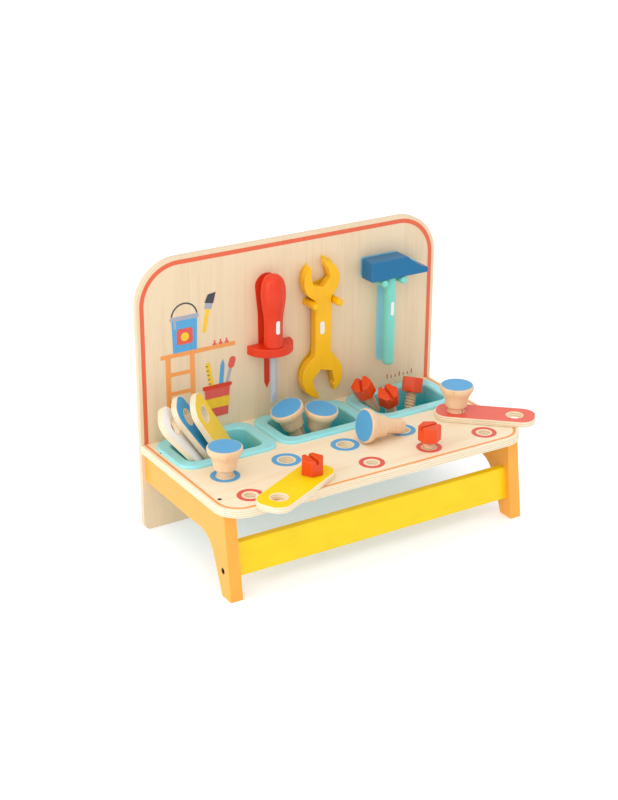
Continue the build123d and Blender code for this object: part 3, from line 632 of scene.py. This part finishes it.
ferrule = rounded_box(BRUSH_X - 4, BRUSH_Z + 12, BRUSH_X + 4, BRISTLE_FOOT, 0.6)
bristles = [(BRUSH_X - 5, BRISTLE_FOOT), (BRUSH_X + 5, BRISTLE_FOOT)]
bristles += [(BRUSH_X + 5.6, BRUSH_Z + 30), (BRUSH_X - 3, BRUSH_Z + 27)]
brush_print("print_brush_grip", pill(BRUSH_X, BRUSH_Z, 4.4, 27), "yellow")
brush_print("print_brush_ferrule", ferrule, "stone", SECOND)
brush_print("print_brush_bristles", bristles, "slate", SECOND)

# a bucket with a pencil, a rule and a round brush, beside the ladder
PAIL_X = -91.0
PAIL_FOOT = 110.0
RULE_PIVOT = (PAIL_X - 4, PAIL_FOOT + 20)
RULE_TILT = 9
ROUND_PIVOT = (PAIL_X + 10, PAIL_FOOT + 30)
ROUND_TILT = -16
pail = [(PAIL_X - 12, PAIL_FOOT), (PAIL_X + 12, PAIL_FOOT)]
pail += [(PAIL_X + 15, PAIL_FOOT + 33), (PAIL_X - 15, PAIL_FOOT + 33)]
rule = rounded_box(PAIL_X - 7, PAIL_FOOT + 20, PAIL_X - 1.5, PAIL_FOOT + 62, 0.5)
pencil = [(PAIL_X + 1, PAIL_FOOT + 25), (PAIL_X + 6, PAIL_FOOT + 25), (PAIL_X + 6, PAIL_FOOT + 56)]
pencil += [(PAIL_X + 3.5, PAIL_FOOT + 63), (PAIL_X + 1, PAIL_FOOT + 56)]
panel_print("print_rule", [turned(rule, *RULE_PIVOT, RULE_TILT)], "yellow")
for tick in range(5):
    z = PAIL_FOOT + 38 + 5 * tick
    mark = rounded_box(PAIL_X - 7, z, PAIL_X - 4.4, z + 0.9, 0.2)
    panel_print(f"print_rule_mark_{tick}", [turned(mark, *RULE_PIVOT, RULE_TILT)], "slate", SECOND)
panel_print("print_pencil", [turned(pencil, PAIL_X + 3.5, PAIL_FOOT + 25, -6)], "blue")
round_grip = turned(pill(PAIL_X + 10, PAIL_FOOT + 42, 3.4, 26), *ROUND_PIVOT, ROUND_TILT)
round_head = turned(pill(PAIL_X + 10, PAIL_FOOT + 58, 7.4, 13), *ROUND_PIVOT, ROUND_TILT)
panel_print("print_round_grip", [round_grip], "stone")
panel_print("print_round_head", [round_head], "red", SECOND)
panel_print("print_pail", [pail], "red", THIRD)
band = [(PAIL_X - 12.9, PAIL_FOOT + 10), (PAIL_X + 12.9, PAIL_FOOT + 10)]
band += [(PAIL_X + 13.9, PAIL_FOOT + 21), (PAIL_X - 13.9, PAIL_FOOT + 21)]
panel_print("print_pail_band", [band], "yellow", FOURTH)
pail_rim = rounded_box(PAIL_X - 17, PAIL_FOOT + 31.5, PAIL_X + 17, PAIL_FOOT + 36, 2)
panel_print("print_pail_rim", [pail_rim], "driver_red", FOURTH)

# a small row of marks like a rule's, low on the right
MARK_LEFT = 122.0
MARK_PITCH = 5.4
MARK_FOOT = 106.0
for tick in range(7):
    x = MARK_LEFT + MARK_PITCH * tick
    height = 5.6 if tick % 3 == 0 else 3.4
    mark = rounded_box(x - 0.7, MARK_FOOT, x + 0.7, MARK_FOOT + height, 0.5)
    panel_print(f"print_mark_{tick}", [mark], "red")

# ---------------------------------------------------------------- worktop prints
TABLE = plane((0, 0, TOP_FACE), (1, 0, 0), (0, 0, 1))
LINE_INSET = 5.0
LINE_WIDTH = 2.8
LINE_RADIUS = 23.0
line_x = top_high.x / MM - LINE_INSET
line_y = top_low.y / MM + LINE_INSET
back_y = top_high.y / MM
table_line = [(-line_x, back_y)]
table_line += arc(LINE_RADIUS - line_x, line_y + LINE_RADIUS, LINE_RADIUS, 180, 270, 24)
table_line += arc(line_x - LINE_RADIUS, line_y + LINE_RADIUS, LINE_RADIUS, 270, 360, 24)
table_line += [(line_x, back_y)]
film("print_table_line", [stroke(table_line, LINE_WIDTH)], TABLE, INKS["line_orange"], "bench")
for row, y, ink, inner, outer in (
    ("nail", NAIL_ROW_Y, "blue", 9.7, 15.0),
    ("screw", SCREW_ROW_Y, "red", 8.5, 13.2),
):
    for number, x in enumerate(HOLE_XS):
        rings = [ring_line(x / MM, y / MM, outer), ring_line(x / MM, y / MM, inner)]
        film(f"print_{row}_ring_{number}", rings, TABLE, INKS[ink], "bench")

# ---------------------------------------------------------------- painted slat faces
SLAT_LENGTH = 106.0
SLAT_WIDTH = 38.0
SLAT_CORNER = 15.0
SLAT_HOLE_PITCH = 62.0
BARE_EDGE = 0.9
BARE_HOLE_R = 9.4

for name, (middle, normal) in slat_faces.items():
    joint = joints[name]
    if joint["type"] == "hinge":
        along = middle - Vector(joint["pos_m"])
    else:
        along = Vector(joint["axis"])
    half = (SLAT_LENGTH / 2 - BARE_EDGE, SLAT_WIDTH / 2 - BARE_EDGE)
    face = [rounded_box(-half[0], -half[1], half[0], half[1], SLAT_CORNER - BARE_EDGE)]
    face += [ring_line(side * SLAT_HOLE_PITCH / 2, 0, BARE_HOLE_R) for side in (-1, 1)]
    coat = painted_wood(f"{name} paint", SLAT_PAINT[name], "x", wear=0.3)
    film(f"{name}_coat", face, plane(middle, along, normal), coat, name)

# ---------------------------------------------------------------- nails' blue tops
NAIL_DISC_R = 16.4
for name in ("nail_front_left", "nail_back_right", "nail_on_worktop", "tray_nail_left", "tray_nail_right"):
    middle, normal = flat_face(name)
    place = plane(middle, (0, 1, 0.3), normal)
    film(f"{name}_top", [ring_line(0, 0, NAIL_DISC_R)], place, INKS["blue"], name)

# ---------------------------------------------------------------- screws' helical threads
SHANK_LENGTH = 30.0
SHANK_R = 6.2
ROOT_R = 4.9
PITCH = 3.2
TURN_STEPS = 48
RISE_STEPS = 130


def thread_radius(height, angle):
    """The shank's radius at a depth below the head, for one right-hand helical ridge."""
    phase = (height / PITCH + angle / (2 * math.pi)) % 1.0
    ridge = min(1.0, max(0.0, 1.6 - 4.2 * abs(phase - 0.5)))
    fade = min(1.0, max(0.0, (height - 0.8) / 1.5)) * min(1.0, max(0.0, (SHANK_LENGTH - 1.6 - height) / 2.0))
    tip = min(0.0, SHANK_LENGTH - 1.2 - height)
    return ROOT_R + (SHANK_R - ROOT_R) * ridge * fade + tip


def threaded_shank(name, body, node, middle, along):
    mesh = bmesh.new()
    place = plane(middle, (1, 0.2, 0.1), along)
    rows = []
    for step in range(RISE_STEPS + 1):
        height = SHANK_LENGTH * step / RISE_STEPS
        row = []
        for turn in range(TURN_STEPS):
            angle = 2 * math.pi * turn / TURN_STEPS
            radius = thread_radius(height, angle)
            local = Vector((radius * math.cos(angle), radius * math.sin(angle), height)) * MM
            row.append(mesh.verts.new(place @ local))
        rows.append(row)
    for lower, upper in zip(rows, rows[1:]):
        for turn in range(TURN_STEPS):
            after = (turn + 1) % TURN_STEPS
            mesh.faces.new((lower[turn], lower[after], upper[after], upper[turn]))
    mesh.faces.new(rows[0][::-1])
    mesh.faces.new(rows[-1])
    for face in mesh.faces:
        face.smooth = len(face.verts) == 4
    data = bpy.data.meshes.new(name)
    mesh.to_mesh(data)
    mesh.free()
    piece = keep(name, data, looks["thread_wood"], body)
    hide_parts(node)


for body in ("worktop_screw", "slat_screw", "tray_screw_left", "tray_screw_front", "tray_screw_right"):
    middle, along = flat_face(f"{body}_head")
    threaded_shank(f"{body}_thread", body, f"{body}_shank", middle, along)


# ---------------------------------------------------------------- labels on the tools
LABEL_LIFT = 0.06 * MM
LABEL_ROWS = 20


def wrapped_label(name, node, height, width, length, body):
    """A pill-shaped label that lies round a turned handle, on the side towards the front."""
    low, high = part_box(node)
    axis = Vector(((low.x + high.x) / 2, (low.y + high.y) / 2, 0))
    mesh = bmesh.new()
    rows = []
    for step in range(LABEL_ROWS + 1):
        share = -1 + 2 * step / LABEL_ROWS
        v = share * length / 2
        straight = length / 2 - width / 2
        over = max(0.0, abs(v) - straight)
        reach = math.sqrt(max(0.04, (width / 2) ** 2 - over**2))
        radius = handle_radius(node, (height + v) * MM)
        row = []
        for side in range(9):
            angle = -math.pi / 2 + (reach * MM / radius) * (side / 4 - 1)
            outer = radius + LABEL_LIFT
            point = Vector((outer * math.cos(angle), outer * math.sin(angle), (height + v) * MM))
            row.append(axis + point)
        rows.append([mesh.verts.new(point) for point in row])
    for lower, upper in zip(rows, rows[1:]):
        for side in range(8):
            mesh.faces.new((lower[side], lower[side + 1], upper[side + 1], upper[side]))
    for face in mesh.faces:
        face.smooth = True
    data = bpy.data.meshes.new(name)
    mesh.to_mesh(data)
    mesh.free()
    piece = keep(name, data, INKS["white"], body)
    thick = piece.modifiers.new("thickness", "SOLIDIFY")
    thick.thickness = 0.1 * MM
    thick.offset = 1.0


def handle_radius(node, z):
    """A turned node's radius at a height, from the vertices of its mesh on either side of it."""
    low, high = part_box(node)
    axis_x, axis_y = (low.x + high.x) / 2, (low.y + high.y) / 2
    below, above = None, None
    for vertex in frame["nodes"][node].data.vertices:
        reach = math.hypot(vertex.co.x - axis_x, vertex.co.y - axis_y)
        if reach < 3.6 * MM:
            continue
        if vertex.co.z <= z and (below is None or vertex.co.z > below[0]):
            below = (vertex.co.z, reach)
        if vertex.co.z > z and (above is None or vertex.co.z < above[0]):
            above = (vertex.co.z, reach)
    share = (z - below[0]) / (above[0] - below[0])
    return below[1] + (above[1] - below[1]) * share


wrapped_label("screwdriver_label", "screwdriver_handle", 204.0, 4.6, 15.0, "screwdriver")
wrapped_label("hammer_label", "hammer_handle", 196.0, 4.2, 16.0, "hammer")
WRENCH_FACE = plane((0, wrench_low.y, 0), (1, 0, 0), (0, -1, 0))
film("wrench_label", [pill(28.6, 189, 5.4, 14.5)], WRENCH_FACE, INKS["white"], "wrench")

# ---------------------------------------------------------------- camera, light and floor
CAMERA_AT = Vector((-842.18, -1398.03, 812.56)) * MM
CAMERA_TARGET = Vector((-16.36, -63.0, 133.55)) * MM
CAMERA_ROLL = math.radians(0.25)
LENS = 74.74

camera_data = bpy.data.cameras.new("camera")
camera_data.lens = LENS
camera_data.sensor_width = 36.0
camera = bpy.data.objects.new("camera", camera_data)
view = (CAMERA_TARGET - CAMERA_AT).to_track_quat("-Z", "Y")
roll = Matrix.Rotation(CAMERA_ROLL, 4, "Z")
camera.matrix_world = Matrix.Translation(CAMERA_AT) @ view.to_matrix().to_4x4() @ roll
bpy.context.scene.collection.objects.link(camera)
bpy.context.scene.camera = camera

world = bpy.data.worlds.new("studio")
world.use_nodes = True
world.node_tree.nodes["Background"].inputs["Color"].default_value = (0.97, 0.98, 1.0, 1)
world.node_tree.nodes["Background"].inputs["Strength"].default_value = 0.97
bpy.context.scene.world = world
bpy.context.scene.view_settings.view_transform = "Standard"


def softbox(name, at, size, power, tint=(1, 1, 1)):
    """A large square light that looks at the middle of the bench."""
    data = bpy.data.lights.new(name, "AREA")
    data.size = size
    data.energy = power
    data.color = tint
    lamp = bpy.data.objects.new(name, data)
    lamp.location = at
    lamp.rotation_euler = (Vector((0, -0.08, 0.12)) - Vector(at)).to_track_quat("-Z", "Y").to_euler()
    bpy.context.scene.collection.objects.link(lamp)


softbox("key_light", (-0.9, -1.3, 1.7), 0.9, 5, (1.0, 0.98, 0.95))
softbox("left_light", (-1.9, -0.1, 0.8), 1.3, 11, (1.0, 0.99, 0.96))
softbox("top_light", (0.1, 0.2, 1.9), 1.2, 2.5)

floor_mesh = bpy.data.meshes.new("floor")
reach = 6.0
corners = [(-reach, -reach, 0), (reach, -reach, 0), (reach, reach, 0), (-reach, reach, 0)]
floor_mesh.from_pydata(corners, [], [(0, 1, 2, 3)])
floor_look = Look("pale floor", (0.86, 0.87, 0.88, 1), 0.6)
floor_look.rough(floor_look.noise(floor_look.place((0.01, 0.01, 0.01))), 0.5, 0.7)
# a little light of its own lifts the shadow under the bench
floor_look.set(Emission_Color=(0.86, 0.92, 1.0, 1), Emission_Strength=0.32)
floor_mesh.materials.append(floor_look.material)
floor = bpy.data.objects.new("floor", floor_mesh)
floor.location.z = -0.0002
bpy.context.scene.collection.objects.link(floor)
